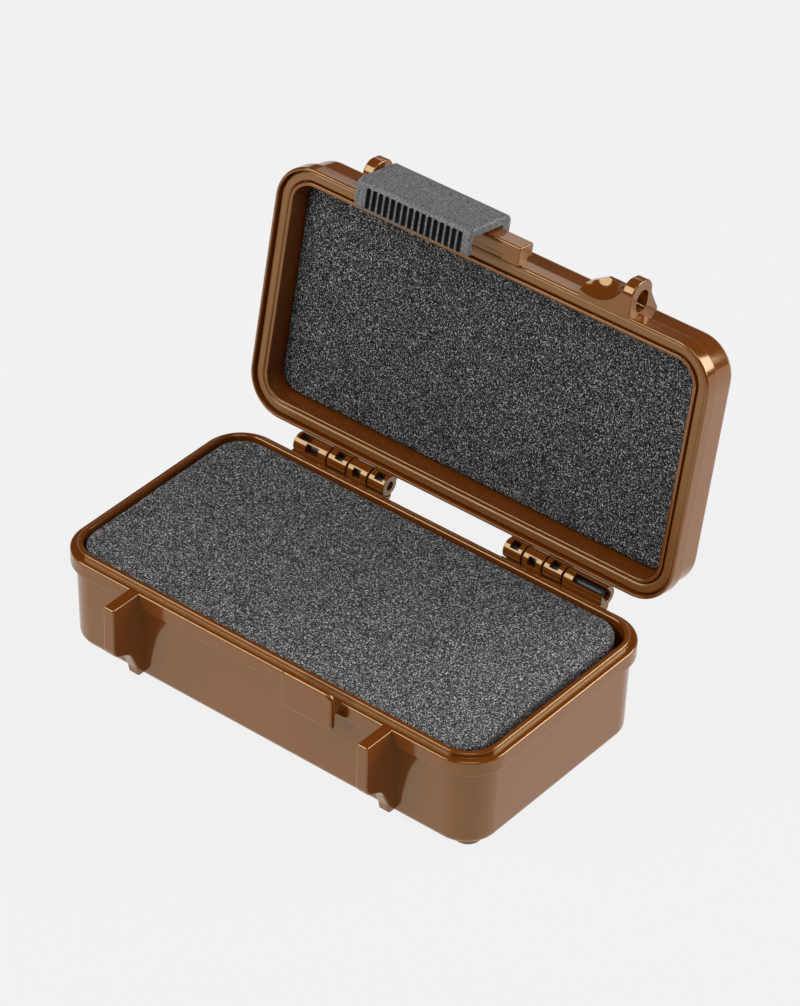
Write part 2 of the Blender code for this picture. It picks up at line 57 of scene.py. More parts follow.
# The outline that both shells share.  Insets are measured inwards from the flange's outer face.
HALF_X = 0.0833
HALF_Y = 0.0436
CORNER = 0.0136
MIN_CORNER = 0.0020
MIN_RADIUS = 0.00002
CORNER_STEPS = 20
ARC_STEP = math.radians(18)
ROUND_SIDES = 48
EDGE_STEPS = 4
SLOT_END = 0.999
MOULD_EDGE = 0.0005
OVERLAP = 0.0010
WELD_DISTANCE = 1e-7
SMOOTH_ANGLE = math.radians(40)

# Base shell.
BASE_BOTTOM = -0.0355
BASE_FLOOR = -0.0333
LEDGE = -0.0016
BAND_LOW = -0.0069
OPENING_INSET = 0.0041
FOOT_CENTRE = (0.0718, 0.0320)
FOOT_HALF = 0.0060
FOOT_CORNER = 0.0045
FOOT_HEIGHT = 0.0010
FOOT_ROOT = 0.0006
FOOT_EDGE = 0.0003

# Lid shell, drawn closed.
LID_LIP = -0.0009
LID_BAND_TOP = 0.0045
LID_TOP = 0.0153
LID_CEILING = 0.0129
GROOVE_FLOOR = 0.0023
GROOVE_INNER = 0.0050
LID_OPENING_INSET = 0.0062

# Fins, lugs, catch, rail and gusset.
WALL_ROOT = -0.0408
LIP_ROOT = -0.0430
FIN_X = 0.0497
FIN_WIDTH = 0.0040
FIN_FRONT = -0.0551
LUG_FRONT = -0.0542
LUG_TOP = 0.0092
LUG_HOLE = {"y": -0.0474, "z": 0.0048, "height": 0.0074, "width": 0.0058}
CATCH_X = (0.0126, 0.0323)
CATCH_FRONT = -0.0482
CATCH_BACK = -0.0460
CATCH_TOP = 0.0032
CATCH_LOW = -0.0099
CATCH_WEB_LOW = -0.0045
CATCH_WEB_FRONT = -0.0472
CATCH_WEB_INSET = 0.0002
CATCH_EDGE = 0.0009
RAIL_X = (-0.0460, 0.0113)
RAIL_BLOCK_X = 0.0060
RAIL_HEAD = {"front": -0.0505, "back": -0.0458, "low": -0.0030, "high": 0.0039}
RAIL_STEM = (-0.0014, 0.0019)
RAIL_CLEAR_Y = -0.0441
GUSSET_X = (0.0329, 0.0485)
GUSSET_Z = (-0.0009, 0.0066)
GUSSET_TOP = -0.0497
GUSSET_LEFT_TOP = -0.0466
GUSSET_SLOPE_X = 0.0385
SCOOP_CENTRE = Vector((0.0375, -0.0530, -0.0025))
SCOOP_RADII = Vector((0.0105, 0.0087, 0.0085))
SHACKLE_PATH_START = 0.0447

# Latch.
LATCH_X = (-0.0455, -0.0010)
LATCH_FRONT = -0.0540
LATCH_Z = (-0.0121, 0.0084)
LATCH_EDGE = 0.0007
LATCH_CHANNEL_FRONT = -0.0508
LATCH_CHANNEL_Z = (-0.0102, 0.0042)
LATCH_LIP_FRONT = -0.0455
LATCH_WALL_LOW = -0.0449
LATCH_BACK_LIP = (-0.0439, 0.0023)
GUIDE_LENGTH = 0.0173
GUIDE_Z = -0.0033
GUIDE_LIP = (-0.0440, -0.0017)
RIDGE_COUNT = 16
RIDGE_START = 0.0046
RIDGE_PITCH = 0.00236
GROOVE_WIDTH = 0.0012
GROOVE_DEPTH = 0.0011
GROOVE_SECTION = (
    (-0.0010, 0.0005),
    (-0.0001, 0.0004),
    (0.0002, 0.0001),
    (0.0005, 0.0),
    (GROOVE_DEPTH, -0.0001),
)
GROOVE_Y = (-0.0522, -0.0430)
FIT_GAP = 0.0004

# Hinges.  Knuckles are distances from the middle: the base's, then the lid's.
PIN_RADIUS = 0.0015
PIN_EDGE = 0.0004
BORE_RADIUS = 0.0016
KNUCKLE_RADIUS = 0.0034
KNUCKLE_EDGE = 0.0003
TROUGH_RADIUS = 0.0039
HINGE_WEB_ROOT = 0.0425
HINGE_WEB_BACK = 0.0462
BASE_WEB_TOP = -0.0019
SHELF_LOW = -0.0064
SHELF_BACK = 0.0485
SHELF_EDGE = 0.0004
LID_WEB_LOW = 0.0002
PIN_X = {-1: (0.0242, 0.0600), 1: (0.0245, 0.0606)}
HINGE_REACH = {-1: (0.0235, 0.0604), 1: (0.0238, 0.0620)}
KNUCKLES = {
    -1: (((0.0306, 0.0385), (0.0471, 0.0604)), ((0.0235, 0.0301), (0.0390, 0.0466))),
    1: (((0.0313, 0.0387), (0.0469, 0.0620)), ((0.0238, 0.0308), (0.0392, 0.0464))),
}

# Windows onto the pins: distance from the middle, width, and angle up from the front with the
# lid open.
WINDOW_HEIGHT = 0.0030
BASE_WINDOWS = {
    -1: ((0.0347, 0.0030, 22), (0.0529, 0.0050, 22), (0.0567, 0.0048, 80)),
    1: ((0.0350, 0.0030, 22), (0.0562, 0.0116, 55)),
}
LID_WINDOWS = {
    -1: ((0.0264, 0.0032, 68), (0.0425, 0.0032, 68)),
    1: ((0.0275, 0.0032, 68), (0.0428, 0.0032, 68)),
}

# Foam.
BASE_FOAM_TOP = -0.0009
FOAM_GAP = 0.0003
BASE_FOAM_SHORT = 0.0026
BASE_FOAM_CORNER = 0.0100
LID_FOAM_FACE = 0.0065
FOAM_EDGE = 0.0011
FOAM_VOXEL = 0.0008
FOAM_ROUGHNESS = 0.00012
FOAM_BACK_DEPTH = 0.0030
FINE_NOISE = 900.0
BROAD_NOISE = 60.0
BROAD_SHARE = 0.8
BASE_FOAM_BACK_INSET = 0.0040
LID_FOAM_BACK_INSET = 0.0020
BASE_FOAM_SEED = 11.0
LID_FOAM_SEED = 23.0


def fillet(corners):
    """The points of a path through corners (across, up, radius), each rounded to its radius."""
    points = []
    for index, (across, up, radius) in enumerate(corners):
        here = Vector((across, up))
        if radius == 0.0:
            points.append(here)
            continue
        before = (Vector(corners[index - 1][:2]) - here).normalized()
        after = (Vector(corners[(index + 1) % len(corners)][:2]) - here).normalized()
        half_angle = before.angle(after) / 2
        centre = here + (before + after).normalized() * (radius / math.sin(half_angle))
        start = here + before * (radius / math.tan(half_angle)) - centre
        end = here + after * (radius / math.tan(half_angle)) - centre
        turn = math.pi - 2 * half_angle
        steps = max(2, math.ceil(turn / ARC_STEP))
        if start.x * end.y - start.y * end.x < 0:
            turn = -turn
        for step in range(steps + 1):
            angle = turn * step / steps
            x = start.x * math.cos(angle) - start.y * math.sin(angle)
            y = start.x * math.sin(angle) + start.y * math.cos(angle)
            points.append(centre + Vector((x, y)))
    return points


def rounded_outline(half_x, half_y, radius, centre_x=0.0):
    """The points of a rounded rectangle, anticlockwise from its right side."""
    points = []
    for quarter, (side_x, side_y) in enumerate(((1, 1), (-1, 1), (-1, -1), (1, -1))):
        middle = Vector((centre_x + side_x * (half_x - radius), side_y * (half_y - radius)))
        for step in range(CORNER_STEPS + 1):
            angle = math.radians(90) * (quarter + step / CORNER_STEPS)
            points.append(middle + radius * Vector((math.cos(angle), math.sin(angle))))
    return points


def flange_ring(inset, height):
    radius = max(CORNER - inset, MIN_CORNER)
    outline = rounded_outline(HALF_X - inset, HALF_Y - inset, radius)
    return [Vector((point.x, point.y, height)) for point in outline]


def loft(rings, closed=False):
    """Bridge rings of equal length; cap the first and last, or join them if closed."""
    bm = bmesh.new()
    loops = [[bm.verts.new(point) for point in ring] for ring in rings]
    pairs = list(zip(loops, loops[1:]))
    if closed:
        pairs.append((loops[-1], loops[0]))
    else:
        bm.faces.new(loops[0])
        bm.faces.new(loops[-1])
    for lower, upper in pairs:
        for index in range(len(lower)):
            after = (index + 1) % len(lower)
            bm.faces.new((lower[index], lower[after], upper[after], upper[index]))
    return bm


def inset_corners(corners, inset):
    """Corners moved inwards by an inset, with each radius kept concentric."""
    points = [Vector(corner[:2]) for corner in corners]
    turns = [points[i - 1].cross(points[i]) for i in range(len(points))]
    side = 1 if sum(turns) > 0 else -1
    moved = []
    for index, here in enumerate(points):
        before = (here - points[index - 1]).normalized()
        after = (points[(index + 1) % len(points)] - here).normalized()
        first = side * Vector((-before.y, before.x))
        second = side * Vector((-after.y, after.x))
        here = here + (first + second) * inset / (1 + first.dot(second))
        radius = corners[index][2]
        if radius:
            convex = before.cross(after) * side > 0
            radius = max(radius - inset, MIN_RADIUS) if convex else radius + inset
        moved.append((here.x, here.y, radius))
    return moved


def end_rounding(start, end, edge):
    """(inset, along) for the rings of a prism whose end edges are rounded."""
    if not edge:
        return [(0.0, start), (0.0, end)]
    angles = [math.radians(90) * step / EDGE_STEPS for step in range(EDGE_STEPS + 1)]
    rings = [(edge * (1 - math.sin(a)), edge * (1 - math.cos(a))) for a in angles]
    near = [(inset, start + along) for inset, along in rings]
    far = [(inset, end - along) for inset, along in reversed(rings)]
    return near + far


def prism(corners, start, end, edge=0.0, plane="yz"):
    """Corners carried along the axis across their plane, with the end edges rounded."""
    place = {
        "yz": lambda a, b, along: Vector((along, a, b)),
        "xz": lambda a, b, along: Vector((a, along, b)),
        "xy": lambda a, b, along: Vector((a, b, along)),
    }[plane]
    rings = []
    for inset, along in end_rounding(start, end, edge):
        outline = fillet(inset_corners(corners, inset))
        rings.append([place(a, b, along) for a, b in outline])
    return loft(rings)


def box(low, high):
    (y0, z0), (y1, z1) = low[1:], high[1:]
    return prism([(y0, z0, 0.0), (y1, z0, 0.0), (y1, z1, 0.0), (y0, z1, 0.0)], low[0], high[0])


def rod(radius, start, end, edge=0.0):
    """A round bar along the hinge axis."""
    rings = []
    for inset, along in end_rounding(start, end, edge):
        reach = radius - inset
        angles = [2 * math.pi * step / ROUND_SIDES for step in range(ROUND_SIDES)]
        circle = [(HINGE_Y + reach * math.cos(a), HINGE_Z + reach * math.sin(a)) for a in angles]
        rings.append([Vector((along, y, z)) for y, z in circle])
    return loft(rings)


def slot_corners(centre_y, centre_z, length_y, width_z):
    """A slot with round ends, long in Y."""
    end = width_z / 2
    reach = length_y / 2
    return [
        (centre_y - reach, centre_z - end, SLOT_END * end),
        (centre_y + reach, centre_z - end, SLOT_END * end),
        (centre_y + reach, centre_z + end, SLOT_END * end),
        (centre_y - reach, centre_z + end, SLOT_END * end),
    ]


def object_from(bm, name):
    bmesh.ops.remove_doubles(bm, verts=bm.verts, dist=WELD_DISTANCE)
    bmesh.ops.recalc_face_normals(bm, faces=bm.faces)
    mesh = bpy.data.meshes.new(name)
    bm.to_mesh(mesh)
    bm.free()
    obj = bpy.data.objects.new(name, mesh)
    bpy.context.scene.collection.objects.link(obj)
    return obj


def shaped(body, steps, name, material=None, cut_shade_material=None):
    """The body after a list of (operation, tool mesh) Boolean steps, as one plain mesh.

    With a material, cut faces take cut_shade_material, painted shade for the cuts.  The exact
    solver left the base shell open at its hinges, so pieces without a material use the manifold
    solver.
    """
    obj = object_from(body, name)
    if material:
        obj.data.materials.append(material)
    tools = []
    for operation, bm in steps:
        tool = object_from(bm, f"{name}_tool")
        tools.append(tool)
        if material:
            tool.data.materials.append(cut_shade_material if operation == "DIFFERENCE" else material)
        modifier = obj.modifiers.new("step", "BOOLEAN")
        modifier.operation = operation
        modifier.solver = "EXACT" if material else "MANIFOLD"
        modifier.material_mode = "TRANSFER" if material else "INDEX"
        modifier.object = tool
    settle(obj)
    for tool in tools:
        bpy.data.objects.remove(tool, do_unlink=True)
    return obj


def settle(obj):
    """Apply every modifier."""
    graph = bpy.context.evaluated_depsgraph_get()
    mesh = bpy.data.meshes.new_from_object(obj.evaluated_get(graph))
    obj.modifiers.clear()
    obj.data = mesh


def finish_piece(obj, place, material, body, node, sharp=SMOOTH_ANGLE):
    """Place a piece, shade it and tie it to its CAD node; no material keeps the ones it has."""
    obj.data.transform(place)
    if material:
        obj.data.materials.clear()
        obj.data.materials.append(material)
    obj.data.shade_smooth()
    obj.data.set_sharp_from_angle(angle=sharp)
    weighted = obj.modifiers.new("even_faces", "WEIGHTED_NORMAL")
    weighted.keep_sharp = True
    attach(obj, body)
    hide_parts(node)


def base_rings():
    profile = [
        (0.0090, BASE_BOTTOM, 0.0),
        (0.0026, BASE_BOTTOM, 0.0028),
        (0.0019, BAND_LOW - 0.0010, 0.0004),
        (0.0, BAND_LOW, 0.0007),
        (0.0, LEDGE, 0.0007),
        (0.0024, LEDGE, 0.0002),
        (0.0023, 0.0, 0.0005),
        (OPENING_INSET, 0.0, 0.0006),
        (0.0060, BASE_FLOOR, 0.0020),
        (0.0100, BASE_FLOOR, 0.0),
    ]
    return [flange_ring(point.x, point.y) for point in fillet(profile)]


def lid_rings():
    profile = [
        (0.0090, LID_TOP, 0.0),
        (0.0014, LID_TOP, 0.0030),
        (0.0010, LID_BAND_TOP + 0.0003, 0.0002),
        (0.0, LID_BAND_TOP, 0.0007),
        (0.0, LID_LIP, 0.0007),
        (0.0011, LID_LIP, 0.0002),
        (0.0012, GROOVE_FLOOR, 0.0),
        (GROOVE_INNER, GROOVE_FLOOR, 0.0),
        (GROOVE_INNER, 0.0, 0.0003),
        (LID_OPENING_INSET, 0.0, 0.0004),
        (0.0070, LID_CEILING, 0.0015),
        (0.0100, LID_CEILING, 0.0),
    ]
    return [flange_ring(point.x, point.y) for point in fillet(profile)]


def fin(centre):
    corners = [
        (WALL_ROOT, LEDGE, 0.0),
        (FIN_FRONT, LEDGE, 0.0008),
        (FIN_FRONT - 0.0001, -0.0200, 0.0045),
        (-0.0478, -0.0228, 0.0050),
        (-0.0447, -0.0300, 0.0040),
        (-0.0440, -0.0335, 0.0010),
        (WALL_ROOT, -0.0335, 0.0),
    ]
    return prism(corners, centre - FIN_WIDTH / 2, centre + FIN_WIDTH / 2, MOULD_EDGE)


def foot(side_x, side_y):
    x, y = side_x * FOOT_CENTRE[0], side_y * FOOT_CENTRE[1]
    corners = [
        (x - FOOT_HALF, y - FOOT_HALF, FOOT_CORNER),
        (x + FOOT_HALF, y - FOOT_HALF, FOOT_CORNER),
        (x + FOOT_HALF, y + FOOT_HALF, FOOT_CORNER),
        (x - FOOT_HALF, y + FOOT_HALF, FOOT_CORNER),
    ]
    low, high = BASE_BOTTOM - FOOT_HEIGHT, BASE_BOTTOM + FOOT_ROOT
    return prism(corners, low, high, FOOT_EDGE, plane="xy")


def catch_plate():
    """The plate of the catch, drawn as seen from the front."""
    start, end = CATCH_X
    corners = [
        (start, CATCH_LOW, 0.0012),
        (end, CATCH_LOW, 0.0014),
        (end, CATCH_TOP, 0.0028),
        (start, CATCH_TOP, 0.0014),
    ]
    return prism(corners, CATCH_FRONT, CATCH_BACK, CATCH_EDGE, plane="xz")


def catch_web():
    corners = [
        (CATCH_WEB_FRONT, CATCH_WEB_LOW, 0.0),
        (CATCH_WEB_FRONT, LEDGE, 0.0),
        (WALL_ROOT, LEDGE, 0.0),
        (WALL_ROOT, CATCH_WEB_LOW, 0.0),
    ]
    return prism(corners, CATCH_X[0] + CATCH_WEB_INSET, CATCH_X[1] - CATCH_WEB_INSET)


def rail_corners(front_undercut):
    """The rail's section: undercut behind, and in front where the latch's guide runs."""
    head = RAIL_HEAD
    stem_low, stem_high = RAIL_STEM
    corners = [
        (head["front"], head["low"], 0.0006),
        (head["front"], head["high"], 0.0006),
        (head["back"], head["high"], 0.0005),
        (head["back"], stem_high, 0.0),
        (LIP_ROOT, stem_high, 0.0),
        (LIP_ROOT, LID_LIP, 0.0),
        (RAIL_CLEAR_Y, stem_low, 0.0),
    ]
    if front_undercut:
        return corners + [(head["back"], stem_low, 0.0), (head["back"], head["low"], 0.0005)]
    return corners + [(RAIL_CLEAR_Y, head["low"], 0.0005)]


def gusset():
    """A block with a sloping left top that stops short of the seal's groove."""
    start, end = GUSSET_X
    low, high = GUSSET_Z
    step_top = GROOVE_FLOOR + 0.0010
    roots = (
        (low, LIP_ROOT),
        (step_top - 0.0003, LIP_ROOT),
        (step_top, WALL_ROOT),
        (high, WALL_ROOT),
    )
    rings = []
    for z, root in roots:
        outline = [
            (start, root),
            (start, GUSSET_LEFT_TOP),
            (GUSSET_SLOPE_X, GUSSET_TOP),
            (end, GUSSET_TOP),
            (end, root),
        ]
        rings.append([Vector((x, y, z)) for x, y in outline])
    return loft(rings)


def scoop():
    bm = bmesh.new()
    placed = Matrix.Translation(SCOOP_CENTRE) @ Matrix.Diagonal((*SCOOP_RADII, 1.0))
    bmesh.ops.create_uvsphere(bm, u_segments=64, v_segments=40, radius=1.0, matrix=placed)
    return bm


def lug(centre):
    corners = [
        (LIP_ROOT, LID_LIP, 0.0),
        (LUG_FRONT, LID_LIP - 0.0002, 0.0045),
        (LUG_FRONT, LUG_TOP - 0.0004, 0.0040),
        (-0.0492, 0.0096, 0.0015),
        (-0.0455, 0.0122, 0.0040),
        (-0.0427, 0.0144, 0.0),
        (WALL_ROOT, 0.0140, 0.0),
        (WALL_ROOT, GROOVE_FLOOR + 0.0010, 0.0),
        (LIP_ROOT, GROOVE_FLOOR + 0.0007, 0.0),
    ]
    return prism(corners, centre - FIN_WIDTH / 2, centre + FIN_WIDTH / 2, MOULD_EDGE)


def lug_hole(start, end):
    corners = slot_corners(LUG_HOLE["y"], LUG_HOLE["z"], LUG_HOLE["height"], LUG_HOLE["width"])
    return prism(corners, start, end)


def mirrored(interval, side):
    """An interval along X on the given side of the middle, in rising order."""
    return tuple(sorted(side * value for value in interval))


def window(centre_x, width, angle):
    """A radial cutter from the hinge axis outwards, at an angle up from the front."""
    half = WINDOW_HEIGHT / 2
    bm = box((-width / 2, 0.0, -half), (width / 2, 2 * KNUCKLE_RADIUS, half))
    place = Matrix.Translation((centre_x, HINGE_Y, HINGE_Z))
    bm.transform(place @ Matrix.Rotation(math.pi - angle, 4, "X"))
    return bm


def hinge_steps(side, knuckles, windows, web, turn):
    """Boolean steps for one hinge's knuckles on a shell."""
    web_low, web_top = web
    section = [
        (HINGE_WEB_ROOT, web_low, 0.0),
        (HINGE_WEB_BACK, web_low, 0.0),
        (HINGE_WEB_BACK, web_top, 0.0),
        (HINGE_WEB_ROOT, web_top, 0.0),
    ]
    steps = []
    for interval in knuckles:
        start, end = mirrored(interval, side)
        steps.append(("UNION", prism(section, start, end)))
        steps.append(("UNION", rod(KNUCKLE_RADIUS, start, end, KNUCKLE_EDGE)))
    start, end = mirrored(HINGE_REACH[side], side)
    steps.append(("DIFFERENCE", rod(BORE_RADIUS, start - OVERLAP, end + OVERLAP)))
    for centre, width, degrees in windows:
        steps.append(("DIFFERENCE", window(side * centre, width, math.radians(degrees) - turn)))
    return steps


def trough_steps(side, knuckles):
    """A shelf under the whole hinge, hollowed where the lid's knuckles turn."""
    section = [
        (HINGE_WEB_ROOT, SHELF_LOW, 0.0),
        (SHELF_BACK, SHELF_LOW + 0.0004, 0.0022),
        (SHELF_BACK, BASE_WEB_TOP, 0.0004),
        (HINGE_WEB_ROOT, BASE_WEB_TOP, 0.0),
    ]
    steps = [("UNION", prism(section, *mirrored(HINGE_REACH[side], side), SHELF_EDGE))]
    for inner, outer in knuckles:
        interval = mirrored((inner - FIT_GAP, outer + FIT_GAP), side)
        steps.append(("DIFFERENCE", rod(TROUGH_RADIUS, *interval)))
    return steps


def build_base(material):
    steps = []
    for side in (-1, 1):
        steps.append(("UNION", fin(side * FIN_X)))
        for side_y in (-1, 1):
            steps.append(("UNION", foot(side, side_y)))
    steps.append(("UNION", catch_web()))
    steps.append(("UNION", catch_plate()))
    for side, (base_knuckles, lid_knuckles) in KNUCKLES.items():
        steps += trough_steps(side, lid_knuckles)
        web = (-KNUCKLE_RADIUS, BASE_WEB_TOP)
        steps += hinge_steps(side, base_knuckles, BASE_WINDOWS[side], web, 0.0)
    shell = shaped(loft(base_rings()), steps, "base_shell_moulding")
    finish_piece(shell, TO_CASE, material, "base", "base_shell")


def build_lid(material):
    steps = [
        ("UNION", gusset()),
        ("DIFFERENCE", scoop()),
        ("DIFFERENCE", lug_hole(SHACKLE_PATH_START, FIN_X)),
        ("UNION", prism(rail_corners(True), RAIL_X[0], RAIL_BLOCK_X, MOULD_EDGE)),
        ("UNION", prism(rail_corners(False), RAIL_BLOCK_X - OVERLAP, RAIL_X[1], MOULD_EDGE)),
    ]
    for side in (-1, 1):
        centre = side * FIN_X
        steps.append(("UNION", lug(centre)))
        steps.append(("DIFFERENCE", lug_hole(centre - FIN_WIDTH, centre + FIN_WIDTH)))
    for side, (_, lid_knuckles) in KNUCKLES.items():
        web = (LID_WEB_LOW, HINGE_Z + KNUCKLE_RADIUS)
        steps += hinge_steps(side, lid_knuckles, LID_WINDOWS[side], web, OPEN_ANGLE)
    shell = shaped(loft(lid_rings()), steps, "lid_shell_moulding")
    finish_piece(shell, TO_LID, material, "lid", "lid_shell")


def build_seal(material):
    profile = fillet([
        (0.0048, 0.0020, 0.0002),
        (0.0013, 0.0020, 0.0002),
        (0.0014, 0.0003, 0.0010),
        (0.0047, 0.0003, 0.0010),
    ])
    rings = [flange_ring(point.x, point.y) for point in profile]
    seal = object_from(loft(rings, closed=True), "rim_seal")
    finish_piece(seal, TO_LID, material, "lid", "lid_seal")


def latch_corners():
    """A channel over the rail and the catch: a front wall, a top and a lip behind the rail."""
    low, high = LATCH_Z
    channel_low, channel_high = LATCH_CHANNEL_Z
    back_lip_y, back_lip_z = LATCH_BACK_LIP
    return [
        (LATCH_WALL_LOW, low, 0.0009),
        (LATCH_FRONT, low, 0.0024),
        (LATCH_FRONT, high, 0.0026),
        (back_lip_y, high, 0.0008),
        (back_lip_y, back_lip_z, 0.0006),
        (LATCH_LIP_FRONT, back_lip_z, 0.0006),
        (LATCH_LIP_FRONT, channel_high, 0.0),
        (LATCH_CHANNEL_FRONT, channel_high, 0.0),
        (LATCH_CHANNEL_FRONT, channel_low, 0.0),
        (LATCH_WALL_LOW, channel_low, 0.0009),
    ]


def latch_guide():
    """The guide inside the latch's left end, with a lip under the rail's head."""
    lip_y, lip_z = GUIDE_LIP
    inner_low = LATCH_Z[0] + GROOVE_DEPTH + FIT_GAP
    inner_front = LATCH_CHANNEL_FRONT - FIT_GAP
    corners = [
        (lip_y, inner_low, 0.0),
        (inner_front, inner_low, 0.0),
        (inner_front, GUIDE_Z, 0.0),
        (LATCH_LIP_FRONT, GUIDE_Z, 0.0),
        (LATCH_LIP_FRONT, lip_z, 0.0),
        (lip_y, lip_z, 0.0),
    ]
    return prism(corners, LATCH_X[0] + 2 * FIT_GAP, LATCH_X[0] + GUIDE_LENGTH)


def latch_groove(start):
    """A groove across the lower face that narrows upwards between round-topped ribs."""
    rings = []
    for depth, spread in GROOVE_SECTION:
        corners = [
            (start - spread, GROOVE_Y[1], 0.0),
            (start - spread, GROOVE_Y[0], 0.0005),
            (start + GROOVE_WIDTH + spread, GROOVE_Y[0], 0.0005),
            (start + GROOVE_WIDTH + spread, GROOVE_Y[1], 0.0),
        ]
        rings.append([Vector((x, y, LATCH_Z[0] + depth)) for x, y in fillet(corners)])
    return loft(rings)


def build_latch(material, groove_shade_material):
    steps = [("UNION", latch_guide())]
    for number in range(RIDGE_COUNT):
        steps.append(("DIFFERENCE", latch_groove(LATCH_X[0] + RIDGE_START + number * RIDGE_PITCH)))
    body = prism(latch_corners(), *LATCH_X, LATCH_EDGE)
    # The grooves' cut faces take the groove material, a near-black painted shade.
    latch = shaped(body, steps, "latch_slider", material, groove_shade_material)
    finish_piece(latch, TO_LID, None, "latch", "sliding_latch")


def build_pin(side, material):
    start, end = mirrored(PIN_X[side], side)
    tag = "left" if side < 0 else "right"
    pin = object_from(rod(PIN_RADIUS, start, end, PIN_EDGE), f"pin_{tag}")
    finish_piece(pin, TO_CASE, material, "base", f"hinge_pin_{tag}")


def foam_rings(half, edge_outline, corner, short):
    """Rings of a foam block: its back, its side and a soft front edge."""
    rings = []
    for inset, height in edge_outline:
        radius = max(corner - inset, MIN_CORNER)
        outline = rounded_outline(half[0] - inset - short / 2, half[1] - inset, radius, -short / 2)
        rings.append([Vector((point.x, point.y, height)) for point in outline])
    return rings


def soft_block(half, corner, back, face, back_inset, short=0.0):
    """A foam block from its back to its face, with a rounded front edge."""
    sign = 1 if face > back else -1
    edge = [(back_inset, back), (0.0, back + sign * FOAM_BACK_DEPTH)]
    for step in range(EDGE_STEPS + 1):
        angle = math.radians(90) * step / EDGE_STEPS
        drop = FOAM_EDGE * (1 - math.sin(angle))
        edge.append((FOAM_EDGE * (1 - math.cos(angle)), face - sign * drop))
    return loft(foam_rings(half, edge, corner, short))


def roughen(obj, seed):
    """Push each point in by a little noise along its normal."""
    shift = Vector((seed, 2 * seed, 3 * seed))
    mesh = obj.data
    normals = [vertex.normal.copy() for vertex in mesh.vertices]
    for vertex, normal in zip(mesh.vertices, normals):
        fine = noise.noise(vertex.co * FINE_NOISE + shift)
        broad = noise.noise(vertex.co * BROAD_NOISE + shift)
        vertex.co -= normal * FOAM_ROUGHNESS * (1.0 + fine + BROAD_SHARE * broad)


def build_foam(bm, name, place, material, body, node, seed):
    foam = object_from(bm, name)
    remesh = foam.modifiers.new("cells", "REMESH")
    remesh.mode = "VOXEL"
    remesh.voxel_size = FOAM_VOXEL
    settle(foam)
    roughen(foam, seed)
    finish_piece(foam, place, material, body, node, sharp=math.radians(180))


def build_base_foam(material):
    half = (HALF_X - OPENING_INSET - FOAM_GAP, HALF_Y - OPENING_INSET - FOAM_GAP)
    back = BASE_FLOOR + FOAM_GAP
    block = soft_block(
        half, BASE_FOAM_CORNER, back, BASE_FOAM_TOP, BASE_FOAM_BACK_INSET, BASE_FOAM_SHORT
    )
    build_foam(
        block,
        "base_foam_block",
        TO_CASE,
        material,
        "base",
        "base_foam",
        BASE_FOAM_SEED,
    )


def build_lid_foam(material):
    half = (HALF_X - LID_OPENING_INSET - 2 * FOAM_GAP, HALF_Y - LID_OPENING_INSET - 2 * FOAM_GAP)
    corner = CORNER - LID_OPENING_INSET
    pad = soft_block(half, corner, LID_CEILING - FOAM_GAP, LID_FOAM_FACE, LID_FOAM_BACK_INSET)
    build_foam(
        pad, "lid_foam_pad", TO_LID, material, "lid", "lid_foam", LID_FOAM_SEED
    )


def node_tree(name):
    """A new material with its node tree and its shader."""
    material = bpy.data.materials.new(name)
    material.use_nodes = True
    tree = material.node_tree
    return material, tree, tree.nodes["Principled BSDF"]


def add_noise(tree, scale, detail=2.0, roughness=0.5):
    coordinates = tree.nodes.new("ShaderNodeTexCoord")
    texture = tree.nodes.new("ShaderNodeTexNoise")
    texture.inputs["Scale"].default_value = scale
    texture.inputs["Detail"].default_value = detail
    texture.inputs["Roughness"].default_value = roughness
    tree.links.new(coordinates.outputs["Object"], texture.inputs["Vector"])
    return texture.outputs["Fac"]


def add_ramp(tree, factor, stops):
    ramp = tree.nodes.new("ShaderNodeValToRGB")
    elements = ramp.color_ramp.elements
    while len(elements) < len(stops):
        elements.new(1.0)
    for element, (position, colour) in zip(elements, stops):
        element.position = position
        element.color = (*colour, 1.0)
    tree.links.new(factor, ramp.inputs["Fac"])
    return ramp.outputs["Color"]


def add_range(tree, factor, low, high):
    node = tree.nodes.new("ShaderNodeMapRange")
    node.inputs["To Min"].default_value = low
    node.inputs["To Max"].default_value = high
    tree.links.new(factor, node.inputs["Value"])
    return node.outputs["Result"]


def add_bump(tree, shader, height, strength, distance):
    bump = tree.nodes.new("ShaderNodeBump")
    bump.inputs["Strength"].default_value = strength
    bump.inputs["Distance"].default_value = distance
    tree.links.new(height, bump.inputs["Height"])
    tree.links.new(bump.outputs["Normal"], shader.inputs["Normal"])


def glossy_plastic(name, dark, light, roughness):
    """Polished brown plastic: a faint flow mottle in its colour under a warm reflection."""
    material, tree, shader = node_tree(name)
    colour = add_ramp(tree, add_noise(tree, MOTTLE_SCALE, 3.0), [(0.3, dark), (0.7, light)])
    tree.links.new(colour, shader.inputs["Base Color"])
    low, high = roughness
    sheen = add_range(tree, add_noise(tree, SHEEN_SCALE), low, high)
    tree.links.new(sheen, shader.inputs["Roughness"])
    shader.inputs["IOR"].default_value = PLASTIC_IOR
    shader.inputs["Specular Tint"].default_value = WARM_TINT
    shader.inputs["Coat Weight"].default_value = COAT_WEIGHT
    shader.inputs["Coat Roughness"].default_value = COAT_ROUGHNESS
    return material


def matte_plastic(name, dark, light, roughness):
    """A fine spark-eroded grain."""
    material, tree, shader = node_tree(name)
    grain = add_noise(tree, GRAIN_SCALE, 3.0, 0.6)
    tree.links.new(add_ramp(tree, grain, [(0.35, dark), (0.65, light)]), shader.inputs["Base Color"])
    shader.inputs["Roughness"].default_value = roughness
    add_bump(tree, shader, grain, 0.5, 0.0002)
    return material


